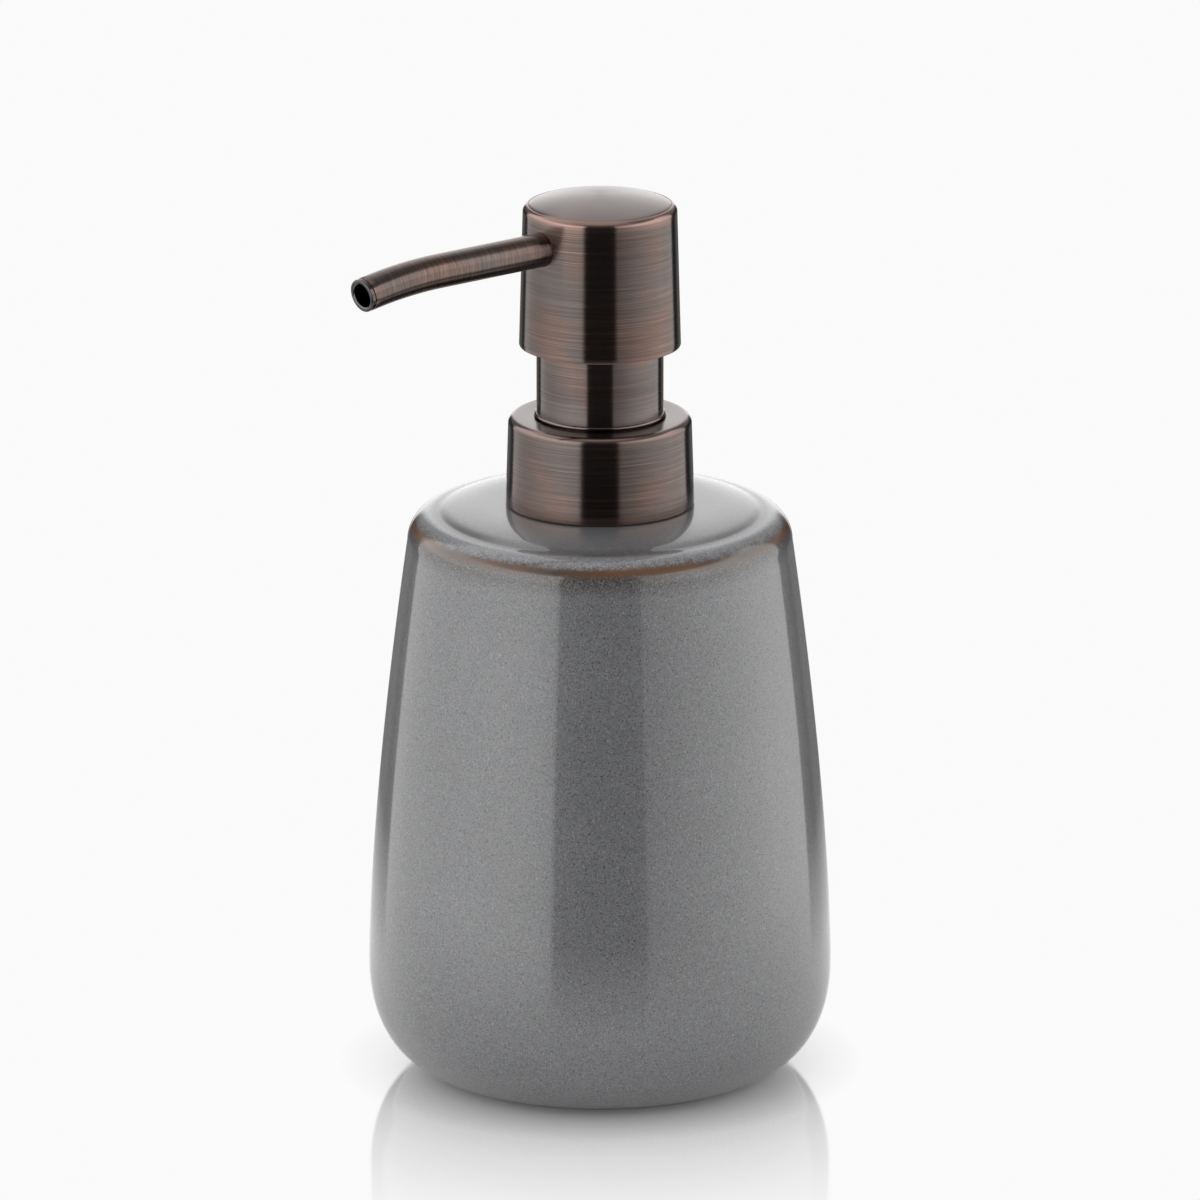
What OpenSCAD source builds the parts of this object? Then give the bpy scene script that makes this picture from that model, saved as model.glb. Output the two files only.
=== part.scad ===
// Soap pump dispenser: a glazed ceramic bottle closed by a screw-on lotion pump.
// Base on z = 0, the pump's axis is the Z axis, the spout points along -Y.

/* [Bottle] */
// Widest radius of the bottle
bottle_r = 40.25; // [36:0.05:50]
// Height of the top where the collar sits
bottle_h = 101.4; // [84:0.1:125]
// Height of the widest place
belly_z = 19.4; // [16:0.2:24]
// Radius where the lower corner meets the foot
foot_r = 24.6; // [20:0.1:27]
// Width of the unglazed ring that the bottle stands on
foot_w = 4.5; // [3:0.5:8]
// How far the middle of the base is raised off the table
foot_recess = 1.2; // [0.8:0.1:2]
// Radius of the side wall where the shoulder starts
shoulder_r = 33.3; // [28:0.05:38]
// Roundness of the shoulder
shoulder_round = 5; // [3:0.1:6]
// How far the top falls from the collar out to the shoulder
top_fall = 1.65; // [1:0.05:3]
// Width of the flat ring left round the collar
collar_flat_w = 0.7; // [0.4:0.1:2]
// Power of the curve of the top, 1 is a cone
top_power = 2.6; // [1:0.05:4]
// Power of the curve that draws the side wall in
side_power = 1.53; // [1.3:0.01:2]
// Power of the rounded lower corner, 2 is an ellipse
corner_power = 2.3; // [2:0.05:3]
// Thickness of the side wall
bottle_wall = 4; // [3:0.1:5.5]
// Thickness of the floor
floor_t = 5; // [4:0.1:7]
// Thickness of the top at its edge
plate_t = 3.6; // [3:0.1:5]

/* [Neck insert] */
// Free space between the pump cylinder and the insert's hole
neck_gap = 2.1; // [1.4:0.1:2.4]
// Wall of the insert at the root of its thread
neck_wall = 1.95; // [1.4:0.05:2]
// Depth of the spigot that is glued into the bottle
spigot_l = 8; // [6:0.5:10]
// Thickness of the flange on the bottle's top
neck_flange_t = 1.2; // [0.8:0.1:1.6]
// Advance of the thread in one turn
thread_pitch = 4.233; // [3.8:0.001:4.6]
// Height of the thread ridge off its root
thread_h = 1.15; // [0.8:0.05:1.2]
// Width of the thread ridge at its root
thread_w = 2; // [1.6:0.1:2.2]
// Plain length left at each end of the thread
thread_margin = 0.9; // [0.6:0.1:1.2]

/* [Collar] */
// Height of the metal collar
collar_h = 15.4; // [13:0.1:19]
// Wall of the collar at its bottom, round the cap
collar_wall = 1.15; // [0.95:0.05:3]
// How much the collar narrows towards its top
collar_taper = 0.45; // [0.1:0.05:0.5]
// Radius of the collar's top edge
collar_fillet = 1.3; // [0.8:0.1:1.6]
// Gap between the collar and the bottle
collar_gap = 0.15; // [0.1:0.05:0.4]
// Wall of the pressed metal shells
shell_t = 0.8; // [0.5:0.05:0.9]
// Thickness of the cap's top plate
cap_top_t = 1.2; // [1:0.1:1.6]
// Thickness of the cap's side wall
cap_wall = 1; // [0.8:0.05:1.1]

/* [Pump] */
// How far the head goes down
stroke = 12; // [10:0.5:15]
// Radius of the pump cylinder's bore
cylinder_r = 7.2; // [6.6:0.1:7.4]
// Wall of the pump cylinder
cylinder_wall = 1.3; // [1:0.1:1.4]
// Thickness of the gasket on the neck
gasket_t = 0.8; // [0.6:0.1:1.2]
// Thickness of the cylinder's flange
flange_t = 1.2; // [1:0.1:1.6]
// How far the flange and the gasket reach past the neck's thread root
flange_over = 0.65; // [0.25:0.05:0.85]
// Radius of the hollow stem
stem_r = 4; // [3.6:0.1:4.3]
// Radius of the passage through the stem
stem_bore_r = 2.2; // [1.8:0.1:2.4]
// Length of the return spring as fitted
spring_l = 34; // [28:0.5:40]
// Radius of the spring's wire
wire_r = 0.5; // [0.4:0.05:0.6]
// Number of turns in the spring
spring_turns = 8; // [6:1:10]
// Radius of the two valve balls
ball_r = 2.4; // [2:0.1:2.5]
// How far each ball lifts off its seat
ball_lift = 1.2; // [0.8:0.1:1.5]
// Outer radius of the dip tube
dip_r = 3.2; // [2.8:0.1:3.4]
// Wall of the dip tube
dip_wall = 0.9; // [0.7:0.1:1.1]
// Gap under the dip tube's lowest edge
dip_clear = 2.5; // [1.5:0.5:5]

/* [Neck sleeve] */
// Wall of the lock ring inside the sleeve
lock_wall = 1.65; // [1.2:0.05:2]
// Wall of the metal sleeve between collar and head
sleeve_wall = 0.7; // [0.5:0.05:0.9]
// Radius of the bead at the sleeve's foot
bead_r = 0.35; // [0.2:0.01:0.4]

/* [Head] */
// How far the head's open bottom stands out over the sleeve
head_over = 3; // [2.85:0.05:5]
// How much the head narrows towards its top
head_taper = 0.65; // [0.3:0.05:0.8]
// Radius of the rounded edge round the top
head_fillet = 1.2; // [0.8:0.1:1.5]
// Wall of the head shell at its top edge
head_wall = 1.05; // [0.8:0.05:1.3]
// Rise of the domed top above that edge
dome_h = 1.8; // [1:0.1:2.5]
// Gap left under the head at the end of its stroke
press_gap = 0.7; // [0.4:0.1:1.5]
// How far the sleeve reaches up into the head at rest
sleeve_overlap = 2.2; // [2:0.1:5]

/* [Spout] */
// Outer radius of the spout tube
spout_r = 2.95; // [2.6:0.05:3.2]
// Wall of the spout tube
spout_wall = 0.5; // [0.4:0.05:0.6]
// Distance from the pump's axis to where the spout starts to bend
spout_straight = 36; // [30:0.5:50]
// Radius of the bend
spout_bend_r = 90; // [60:1:150]
// Angle of the bend
spout_bend = 10.4; // [5:0.1:16]
// Upward tilt of the straight stretch
spout_tilt = 0.5; // [0:0.1:4]
// Height of the head's edge above the spout's centre line
spout_drop = 6; // [5.4:0.05:7]
// Radius of the nozzle's hole
nozzle_hole_r = 1.95; // [1.6:0.05:2]
// How far the nozzle stands out of the tube
nozzle_lip = 0.9; // [0.6:0.1:1.5]

/* [Fits] */
// Radial clearance of parts that slide or turn in each other
slip = 0.06; // [0.02:0.01:0.1]
// Clearance between parts that are pressed or glued together
seat = 0.05; // [0.02:0.01:0.1]
// Free space between parts that pass without touching
free_gap = 0.4; // [0.3:0.05:0.8]

/* [Hidden] */

$fn = 96;
cut = 0.5;                                     // how far cuts run past a face
round_n = 16;                                  // points in a rounded corner

// bottle, from the base up
crease_z = bottle_h - top_fall;
shoulder_z = crease_z - shoulder_round;
side_h = shoulder_z - belly_z;
inner_r = bottle_r - bottle_wall;
inner_foot_r = foot_r - 2;
plate_z = crease_z - plate_t;
inner_round = 3;                               // inner corner under the top

// radii, from the pump cylinder outwards
neck_stub_r = cylinder_r + cylinder_wall;      // cylinder's outside
ring_r = neck_stub_r + seat + lock_wall;
sleeve_r = ring_r + seat + sleeve_wall;
pass_r = sleeve_r + 0.3;                       // hole that the sleeve passes
head_r = sleeve_r + head_over;
neck_bore_r = neck_stub_r + neck_gap;
neck_root_r = neck_bore_r + neck_wall;
flange_r = neck_root_r + flange_over;
mouth_r = neck_root_r - 0.25;                  // bottle's mouth
spigot_r = mouth_r - seat;
neck_flange_r = neck_root_r + thread_h;
cap_bore_r = neck_flange_r + free_gap;
cap_r = cap_bore_r + cap_wall;
collar_r = cap_r + seat + collar_wall;
collar_flat_r = collar_r + collar_flat_w;

// neck, collar and cap: heights
neck_h = collar_h + collar_gap - gasket_t - flange_t - cap_top_t - shell_t - 2 * slip;
neck_top = bottle_h + neck_h;
gasket_top = neck_top + gasket_t;
flange_top = gasket_top + flange_t;
plate_low = flange_top + slip;
plate_top = plate_low + cap_top_t;
collar_low = bottle_h + collar_gap;
collar_top = collar_low + collar_h;
cap_low = collar_low + 0.3;

// thread: the cap's ridge runs half a pitch under the neck's
thread_low = bottle_h + neck_flange_t + thread_margin + thread_w / 2;
thread_span = neck_h - neck_flange_t - thread_w - 2 * thread_margin;
thread_turns = thread_span / thread_pitch;
thread_steps = 24;                             // flat stretches in one turn
thread_root = 0.4;                             // how deep a ridge sits in its wall
cap_thread_h = thread_h - 0.15;

// neck sleeve, lock ring and head: heights
bead_z = collar_top + bead_r + 0.08;            // bead rests just above the collar
head_low = collar_top + press_gap + stroke;
sleeve_top = head_low + sleeve_overlap;
sleeve_low = plate_low + cap_top_t / 2;
neck_stub_top = flange_top + 5;
ring_low = flange_top;
guide_low = neck_stub_top + seat;
guide_top = guide_low + 5.3;
hub_low = guide_top + stroke + 0.6;
hub_r = 6;
ring_cup_r = hub_r + 0.6;
core_low = sleeve_top + stroke + 0.4;
spout_z = core_low + spout_r + 1.3;
head_edge = spout_z + spout_drop;
head_top = head_edge + dome_h;
edge_r = head_r - head_taper;                  // head's radius at its top edge
dome_r = edge_r - 0.9;
head_bore_r = edge_r - head_wall;
core_r = head_bore_r - seat;
core_bore_r = sleeve_r + bead_r + 0.25;         // skirt of the core clears the sleeve's bead
roof_t = 1.9;                                  // shell's thickness over the core
core_top = head_edge - roof_t;

// valve chamber on the stem
chamber_r = ball_r + 0.7;
chamber_low = spout_z - 3.8;
seat_r = 1.5;                                  // narrow end of a ball's seat
seat_h = chamber_r - seat_r;                   // the seat's cone is at 45 degrees
ball_on_seat = ball_r * sqrt(2) - seat_r + seat;
outlet_z = chamber_low - seat_h + ball_on_seat;
chamber_top = outlet_z + ball_r + ball_lift + 0.3;

// piston and spring
collar_z = guide_low - 0.2;                    // top of the stem's collar
stem_collar_t = 1.4;
stem_collar_r = stem_r + 1.8;
seal_t = 5;
seal_top = collar_z - stem_collar_t - seat;
seal_r = cylinder_r - slip;
tail_r = stem_r - 0.8;
plug_top = seal_top - seal_t - seat;
plug_t = 2;
spring_top = plug_top - plug_t;
spring_low = spring_top - spring_l;
spring_r = cylinder_r - free_gap - 2 * wire_r - 0.2;
plug_r = spring_r + wire_r;
plug_tail_r = spring_r - wire_r - free_gap;
plug_tail_l = 6.5;
tail_low = plug_top - 6;

// bottom of the cylinder
cage_t = 2;
cage_low = spring_low - cage_t;
inlet_z = cage_low - ball_lift - 0.15 - ball_r;
inlet_seat_z = inlet_z - ball_on_seat;
inlet_seat_top = inlet_seat_z + seat_h;
socket_r = dip_r + seat;
nipple_r = socket_r + 1.3;
dip_top = inlet_seat_z - 1.5;
nipple_low = dip_top - 9;
cone_h = neck_stub_r - nipple_r;
dip_low = floor_t + dip_clear;
vent_r = 0.6;

// spout
spout_bore_r = spout_r - spout_wall;
liner_r = spout_bore_r - seat;
liner_bore_r = 1.5;
nozzle_depth = 4;
liner_angle = spout_bend - nozzle_angle(nozzle_depth + 0.3);

function nozzle_angle(l) = l / spout_bend_r * 180 / PI;
function arc(cr, cz, r, a0, a1, n) =
    [for (i = [0:n]) let (a = a0 + (a1 - a0) * i / n) [cr + r * cos(a), cz + r * sin(a)]];
// lower corner, from the foot radius at z_low out to radius r at the belly
function corner(r_in, r, z_low, n) =
    [for (i = [0:n]) let (a = 90 * i / n)
        [r_in + (r - r_in) * pow(sin(a), 2 / corner_power),
         belly_z - (belly_z - z_low) * pow(cos(a), 2 / corner_power)]];
// side wall, from the belly up to height z_high
function side(off, z_high, n) =
    [for (i = [1:n]) let (z = belly_z + (z_high - belly_z) * i / n, t = (z - belly_z) / side_h)
        [bottle_r - off - (bottle_r - shoulder_r) * pow(t, side_power), z]];

module revolve(points) rotate_extrude() polygon(points);
module ring(r_out, r_in, z_low, z_high) {
    translate([0, 0, z_low]) difference() {
        cylinder(h = z_high - z_low, r = r_out);
        translate([0, 0, -cut]) cylinder(h = z_high - z_low + 2 * cut, r = r_in);
    }
}
module bore(r, z_low, z_high) translate([0, 0, z_low]) cylinder(h = z_high - z_low, r = r);

// helical ridge of trapezium section: root at r_root, crest at r_crest
module ridge(r_root, r_crest, turns, phase) {
    n = ceil(turns * thread_steps);
    crest_w = thread_w / 2;
    sections = [for (i = [0:n]) let (a = phase + 360 * turns * i / n,
                                     z = thread_span * i / n)
        for (p = [[r_root, -thread_w / 2], [r_crest, -crest_w / 2],
                  [r_crest, crest_w / 2], [r_root, thread_w / 2]])
            [p[0] * cos(a), p[0] * sin(a), z + p[1]]];
    sides = [for (i = [0:n - 1], k = [0:3]) let (m = (k + 1) % 4)
        for (f = [[4 * i + k, 4 * i + m, 4 * i + 4 + k], [4 * i + m, 4 * i + 4 + m, 4 * i + 4 + k]])
            r_crest > r_root ? [f[0], f[1], f[2]] : [f[2], f[1], f[0]]];
    ends = [[0, 2, 1], [0, 3, 2], [4 * n, 4 * n + 1, 4 * n + 2], [4 * n, 4 * n + 2, 4 * n + 3]];
    closed = r_crest > r_root ? ends : [for (f = ends) [f[2], f[1], f[0]]];
    translate([0, 0, thread_low]) polyhedron(points = sections, faces = concat(sides, closed));
}

// the spout's own frame: +Z runs out along the spout, +Y is up
module along_spout() translate([0, 0, spout_z]) rotate([90 - spout_tilt, 0, 0]) children();
// round bar along the spout's centre line, from distance start to the bend's angle a
module spout_bar(r, start, a) {
    translate([0, 0, start]) cylinder(h = spout_straight - start, r = r);
    translate([0, -spout_bend_r, spout_straight]) rotate([90, 0, 90])
        rotate_extrude(angle = a, $fn = 720) translate([spout_bend_r, 0]) circle(r = r, $fn = 64);
}
// places children at the bend's angle a, with +Z along the centre line
module at_bend(a) translate([0, -spout_bend_r, spout_straight]) rotate([a, 0, 0])
    translate([0, spout_bend_r, 0]) children();

module bottle() {
    crease_r = shoulder_r - shoulder_round;
    color("slategray") difference() {
        revolve(concat(
            [[0, foot_recess], [foot_r - foot_w, foot_recess], [foot_r - foot_w, 0]],
            corner(foot_r, bottle_r, 0, round_n),
            side(0, shoulder_z, round_n),
            arc(crease_r, shoulder_z, shoulder_round, 6, 90, round_n - 2),
            [for (i = [1:10]) let (u = 1 - i / 10)
                [collar_flat_r + (crease_r - collar_flat_r) * u, bottle_h - top_fall * pow(u, top_power)]],
            [[0, bottle_h]]));
        revolve(concat(
            [[0, floor_t]],
            corner(inner_foot_r, inner_r, floor_t, round_n),
            side(bottle_wall, shoulder_z - bottle_wall, round_n),
            arc(crease_r - bottle_wall, plate_z - inner_round, inner_round, 0, 90, 6),
            [[0, plate_z]]));
        bore(mouth_r, plate_z - cut, bottle_h + cut);
    }
}

module neck_insert() color("gainsboro") {
    difference() {
        union() {
            ring(spigot_r, neck_bore_r, bottle_h - spigot_l, bottle_h + cut);
            ring(neck_flange_r, neck_bore_r, bottle_h, bottle_h + neck_flange_t);
            ring(neck_root_r, neck_bore_r, bottle_h, neck_top);
            ridge(neck_root_r - thread_root, neck_root_r + thread_h, thread_turns, 0);
        }
        bore(neck_bore_r, bottle_h - spigot_l - cut, neck_top + cut);
    }
}

module closure_cap() color("dimgray") {
    difference() {
        bore(cap_r, cap_low, plate_top);
        bore(cap_bore_r, cap_low - cut, plate_low);
        bore(pass_r, plate_low - cut, plate_top + cut);
    }
    ridge(cap_bore_r + thread_root, cap_bore_r - cap_thread_h, thread_turns, 180);
}

module collar_shell() {
    top_r = collar_r - collar_taper;
    color("sienna") difference() {
        revolve(concat(
            [[0, collar_low], [collar_r, collar_low]],
            arc(top_r - collar_fillet, collar_top - collar_fillet, collar_fillet, 0, 90, 8),
            [[0, collar_top]]));
        bore(cap_r + seat, collar_low - cut, plate_top + slip);
        bore(pass_r, plate_top, collar_top + cut);
    }
}

module gasket() color("white") ring(flange_r, neck_bore_r, neck_top, gasket_top);

module pump_cylinder() color("whitesmoke") {
    difference() {
        revolve([
            [0, nipple_low], [nipple_r, nipple_low], [nipple_r, cage_low - cone_h],
            [neck_stub_r, cage_low], [neck_stub_r, gasket_top], [flange_r, gasket_top],
            [flange_r, flange_top], [neck_stub_r, flange_top], [neck_stub_r, neck_stub_top],
            [0, neck_stub_top]]);
        bore(cylinder_r, cage_low, neck_stub_top + cut);
        bore(chamber_r, inlet_seat_top, cage_low + cut);
        translate([0, 0, inlet_seat_z]) cylinder(h = seat_h, r1 = seat_r, r2 = chamber_r);
        bore(seat_r, dip_top - cut, inlet_seat_z + cut);
        bore(socket_r, nipple_low - cut, dip_top);
        translate([0, 0, gasket_top - 4]) rotate([90, 0, 0]) cylinder(h = neck_stub_r + cut, r = vent_r);
    }
}

module ball_cage() {
    hole_r = ball_r - 0.6;
    slot_w = 1.4;
    color("ivory") difference() {
        bore(cylinder_r - seat, cage_low, spring_low);
        bore(hole_r, cage_low - cut, spring_low + cut);
        for (a = [0:60:300]) rotate(a)
            translate([hole_r - cut, -slot_w / 2, cage_low - cut])
                cube([chamber_r + cut, slot_w, cage_t + 2 * cut]);
    }
}

module valve_ball(z) translate([0, 0, z]) rotate_extrude()
    intersection() {
        circle(r = ball_r);
        translate([0, -ball_r]) square([ball_r, 2 * ball_r]);
    }
module inlet_ball() color("silver") valve_ball(inlet_z);
module outlet_ball() color("silver") valve_ball(outlet_z);

module dip_tube() {
    bevel = 30;
    color("aliceblue") difference() {
        ring(dip_r, dip_r - dip_wall, dip_low, dip_top);
        translate([-dip_r, 0, dip_low]) rotate([0, bevel, 0])
            translate([-cut, -2 * dip_r, -4 * dip_r]) cube([5 * dip_r, 4 * dip_r, 4 * dip_r]);
    }
}

module return_spring() {
    steps = 14;                                // flat stretches in one turn
    corners = 6;                               // sides of the wire
    n = spring_turns * steps;
    rise = spring_l - 2 * wire_r;
    points = [for (i = [0:n], k = [0:corners - 1])
        let (a = 360 * i / steps, b = 360 * k / corners, r = spring_r + wire_r * cos(b))
            [r * cos(a), r * sin(a), spring_low + wire_r + rise * i / n + wire_r * sin(b)]];
    sides = [for (i = [0:n - 1], k = [0:corners - 1]) let (m = (k + 1) % corners, c = corners)
        for (f = [[c * i + k, c * i + c + k, c * i + m], [c * i + m, c * i + c + k, c * i + c + m]])
            [f[2], f[1], f[0]]];
    low_end = [for (k = [1:corners - 2]) [0, k, k + 1]];
    high_end = [for (k = [1:corners - 2]) [corners * n, corners * n + k + 1, corners * n + k]];
    color("lightgray") polyhedron(points = points, faces = concat(sides, low_end, high_end));
}

module lock_ring() color("darkgray") {
    difference() {
        bore(ring_r, ring_low, sleeve_top - 0.3);
        bore(neck_stub_r + seat, ring_low - cut, guide_low);
        bore(stem_r + slip, guide_low - cut, guide_top + cut);
        bore(ring_cup_r, guide_top, sleeve_top + cut);
    }
}

module neck_sleeve() color("sienna") {
    inner = sleeve_r - sleeve_wall;
    ring(sleeve_r, inner, sleeve_low, sleeve_top);
    rotate_extrude() difference() {
        translate([sleeve_r, bead_z]) circle(r = bead_r, $fn = 32);
        translate([0, bead_z - 1]) square([inner + sleeve_wall / 2, 2]);
    }
}

module piston_seal() {
    lip_t = 0.8;
    lip_h = 1.6;
    mid_r = tail_r + 2;
    color("white") revolve([
        [tail_r + slip, seal_top - seal_t], [mid_r, seal_top - seal_t],
        [mid_r, seal_top - seal_t + lip_h], [seal_r - lip_t, seal_top - seal_t],
        [seal_r, seal_top - seal_t], [seal_r, seal_top],
        [seal_r - lip_t, seal_top], [mid_r, seal_top - lip_h], [mid_r, seal_top],
        [tail_r + slip, seal_top]]);
}

module piston_stem() {
    color("whitesmoke") difference() {
        union() {
            bore(tail_r, tail_low, collar_z);
            bore(stem_collar_r, collar_z - stem_collar_t, collar_z);
            bore(stem_r, collar_z - stem_collar_t, chamber_low);
        }
        bore(stem_bore_r - 0.4, tail_low - cut, collar_z);
        bore(seat_r, collar_z - cut, chamber_low + cut);
        translate([0, 0, chamber_low - seat_h])
            cylinder(h = seat_h + 0.001, r1 = seat_r, r2 = chamber_r);
    }
}

module stem_plug() {
    tail_end = plug_top - plug_tail_l;
    color("whitesmoke") difference() {
        union() {
            bore(plug_r, spring_top, plug_top);
            bore(plug_tail_r, tail_end, plug_top);
        }
        bore(tail_r + seat, tail_low - seat, plug_top + cut);
        bore(seat_r, tail_end - cut, plug_top);
    }
}

module actuator_core() {
    skirt_low = head_low + 1.2;
    color("darkgray") difference() {
        union() {
            ring(core_r, core_bore_r, skirt_low, core_low + cut);
            bore(core_r, core_low, core_top);
            bore(hub_r, hub_low, core_top);
        }
        bore(stem_r + seat, hub_low - cut, chamber_low);
        bore(chamber_r, chamber_low - seat, chamber_top);
        along_spout() {
            translate([0, 0, hub_r]) cylinder(h = head_r, r = spout_r + seat);
            cylinder(h = head_r, r = liner_r + seat);
        }
    }
}

module head_shell() {
    color("sienna") difference() {
        revolve(concat(
            [[0, head_low], [head_r, head_low]],
            arc(edge_r - head_fillet, head_edge - head_fillet, head_fillet, 0, 80, 8),
            [[dome_r, head_edge - 0.1]],
            [for (i = [1:8]) let (u = 1 - i / 8) [dome_r * u, head_top - dome_h * u * u]]));
        bore(head_bore_r, head_low - cut, core_top + seat);
        along_spout() cylinder(h = head_r + 4, r = spout_r + seat);
    }
}

module spout_tube() color("sienna") along_spout() difference() {
    spout_bar(spout_r, hub_r + seat, spout_bend);
    spout_bar(spout_bore_r, hub_r - cut, spout_bend + 1);
}

module spout_liner() color("black") along_spout() difference() {
    spout_bar(liner_r, chamber_r + 0.1, liner_angle);
    spout_bar(liner_bore_r, chamber_r - cut, liner_angle + 1);
}

module spout_nozzle() {
    round_r = 0.2;                             // rounded edge of the lip
    flare = 0.25;                              // the hole widens at the lip
    rim_r = spout_r - seat;
    sag = nozzle_depth * nozzle_depth / (2 * spout_bend_r);    // the tube bends, the nozzle is straight
    spigot = spout_bore_r - seat - sag;
    color("dimgray") along_spout() at_bend(spout_bend) rotate_extrude() difference() {
        union() {
            translate([0, -nozzle_depth]) square([spigot, nozzle_depth + cut]);
            translate([0, seat]) square([rim_r, nozzle_lip - seat - round_r]);
            translate([0, seat]) square([rim_r - round_r, nozzle_lip - seat]);
            translate([rim_r - round_r, nozzle_lip - round_r]) circle(r = round_r, $fn = 32);
        }
        polygon([
            [-spout_r, -nozzle_depth - cut], [nozzle_hole_r, -nozzle_depth - cut],
            [nozzle_hole_r, nozzle_lip - flare], [nozzle_hole_r + flare, nozzle_lip],
            [nozzle_hole_r + flare, nozzle_lip + cut], [-spout_r, nozzle_lip + cut]]);
    }
}

bottle();
neck_insert();
closure_cap();
collar_shell();
gasket();
pump_cylinder();
ball_cage();
inlet_ball();
dip_tube();
return_spring();
lock_ring();
neck_sleeve();
piston_seal();
piston_stem();
stem_plug();
outlet_ball();
actuator_core();
head_shell();
spout_tube();
spout_liner();
spout_nozzle();
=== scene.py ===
import bpy
import bmesh
import math
from mathutils import Matrix, Vector


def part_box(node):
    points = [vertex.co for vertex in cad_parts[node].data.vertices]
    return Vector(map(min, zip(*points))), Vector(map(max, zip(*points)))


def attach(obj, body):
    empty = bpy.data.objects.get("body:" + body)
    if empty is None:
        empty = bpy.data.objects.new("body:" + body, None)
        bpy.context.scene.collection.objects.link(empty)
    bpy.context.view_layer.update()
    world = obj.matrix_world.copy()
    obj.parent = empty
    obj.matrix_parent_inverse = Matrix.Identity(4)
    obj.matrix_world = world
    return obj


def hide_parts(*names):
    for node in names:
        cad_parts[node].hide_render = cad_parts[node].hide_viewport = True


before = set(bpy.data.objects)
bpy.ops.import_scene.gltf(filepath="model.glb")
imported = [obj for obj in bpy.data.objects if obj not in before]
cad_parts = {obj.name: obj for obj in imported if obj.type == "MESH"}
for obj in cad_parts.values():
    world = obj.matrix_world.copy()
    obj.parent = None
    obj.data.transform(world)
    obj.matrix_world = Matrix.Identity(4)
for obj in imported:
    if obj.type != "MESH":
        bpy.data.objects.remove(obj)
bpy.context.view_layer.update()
mm = 0.001
tiny = 1e-6   # points closer than this are one

# camera, light and floor

view = {
    "azimuth": 49.5,          # degrees from the front, towards +X
    "elevation": 16.2,        # looking down
    "distance": 2.4,
    "aimHeight": 0.0837,      # height on the object's axis that the camera looks at
    "lens": 416.016,          # focal length, and the sensor's width, in millimetres
    "sensor": 36,
    "farthest": 50,
}


def aimCamera():
    azimuth = math.radians(view["azimuth"])
    elevation = math.radians(view["elevation"])
    back = Vector((math.sin(azimuth) * math.cos(elevation),
                   -math.cos(azimuth) * math.cos(elevation),
                   math.sin(elevation)))
    data = bpy.data.cameras.new("studioCamera")
    data.sensor_width = view["sensor"]
    data.lens = view["lens"]
    data.clip_end = view["farthest"]
    camera = bpy.data.objects.new("studioCamera", data)
    bpy.context.scene.collection.objects.link(camera)
    aim = Vector((0, 0, view["aimHeight"]))
    camera.location = aim + back * view["distance"]
    camera.rotation_euler = back.to_track_quat("Z", "Y").to_euler()
    bpy.context.scene.camera = camera


class Nodes:
    # short hand for building a node tree
    def __init__(self, tree):
        self.tree = tree
        tree.nodes.clear()

    def add(self, kind, inputs=None, **settings):
        node = self.tree.nodes.new(kind)
        for key, value in settings.items():
            setattr(node, key, value)
        for key, value in (inputs or {}).items():
            if isinstance(value, bpy.types.NodeSocket):
                self.tree.links.new(value, node.inputs[key])
            else:
                node.inputs[key].default_value = value
        return node

    def math(self, operation, *values):
        return self.add("ShaderNodeMath", dict(enumerate(values)), operation=operation).outputs[0]

    def ramp(self, factor, stops, interpolation="LINEAR"):
        node = self.add("ShaderNodeValToRGB", {"Fac": factor})
        node.color_ramp.interpolation = interpolation
        marks = node.color_ramp.elements
        while len(marks) < len(stops):
            marks.new(0.5)
        for mark, (place, color) in zip(marks, stops):
            mark.position = place
            mark.color = (*color, 1) if isinstance(color, tuple) else (color, color, color, 1)
        return node.outputs["Color"]

    def mix(self, factor, a, b, blend="MIX"):
        node = self.add("ShaderNodeMix", data_type="RGBA", blend_type=blend)
        for socket, value in ((node.inputs[0], factor), (node.inputs[6], a), (node.inputs[7], b)):
            if isinstance(value, bpy.types.NodeSocket):
                self.tree.links.new(value, socket)
            elif isinstance(value, tuple):
                socket.default_value = (*value, 1)
            else:
                socket.default_value = value
        return node.outputs[2]


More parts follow.
